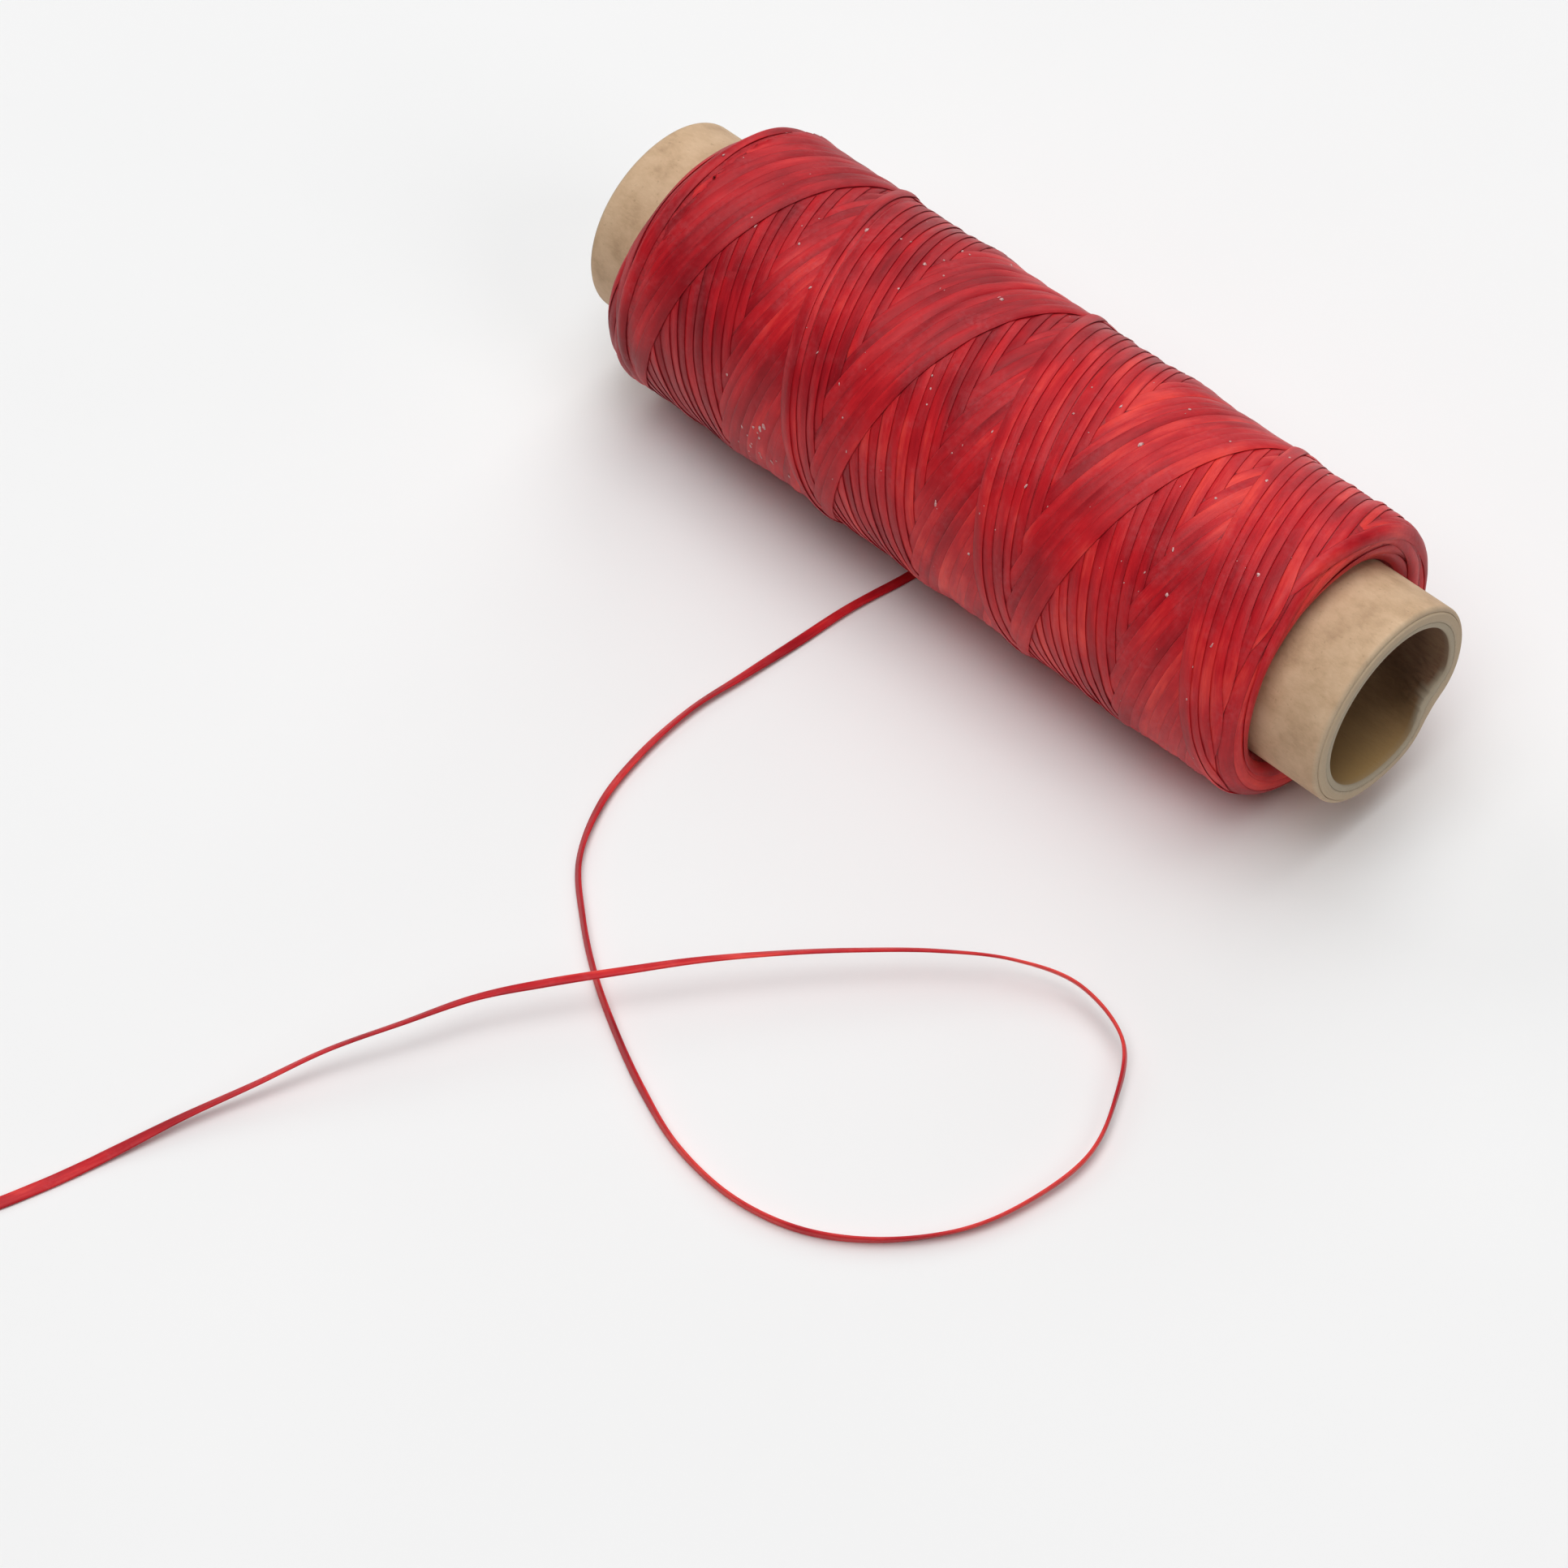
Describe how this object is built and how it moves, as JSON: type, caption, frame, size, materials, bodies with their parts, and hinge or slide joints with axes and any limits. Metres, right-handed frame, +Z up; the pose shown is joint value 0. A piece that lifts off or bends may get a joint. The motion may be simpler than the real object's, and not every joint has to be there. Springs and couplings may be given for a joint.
{
  "type": "waxed thread spool",
  "caption": "Brown paper tube cross-wound with red flat waxed thread for leather stitching, lying on its side with the loose end drawn off and looped once.",
  "frame": {"origin": "on the surface the spool lies on, under the middle of the paper tube", "axes": "+X along the tube's axis, +Z up, and the loose thread runs off towards -Y"},
  "size_m": [0.091, 0.1329, 0.027],
  "materials": {
    "tube_liner": "matte grey-brown board, darkened inside the bore",
    "tube_board": "matte grey-tan board, rubbed round at the cut ends",
    "kraft_cover": "smooth kraft paper with fine fibre flecks, satin",
    "waxed_thread": "flat filament thread with a waxy satin sheen and pale bloom"
  },
  "bodies": {
    "tail": {"free_thread": "waxed_thread"},
    "spool": {"inner_ply": "tube_liner", "middle_ply": "tube_board", "outer_ply": "kraft_cover", "anchor_turns": "waxed_thread", "inner_winding": "waxed_thread", "middle_winding": "waxed_thread", "outer_winding": "waxed_thread"}
  },
  "joints": [
    {"name": "spool_turn", "type": "hinge", "parent": "tail", "child": "spool", "pos_m": [0, 0, 0.0135], "axis": [-1, 0, 0], "continuous": true}
  ]
}
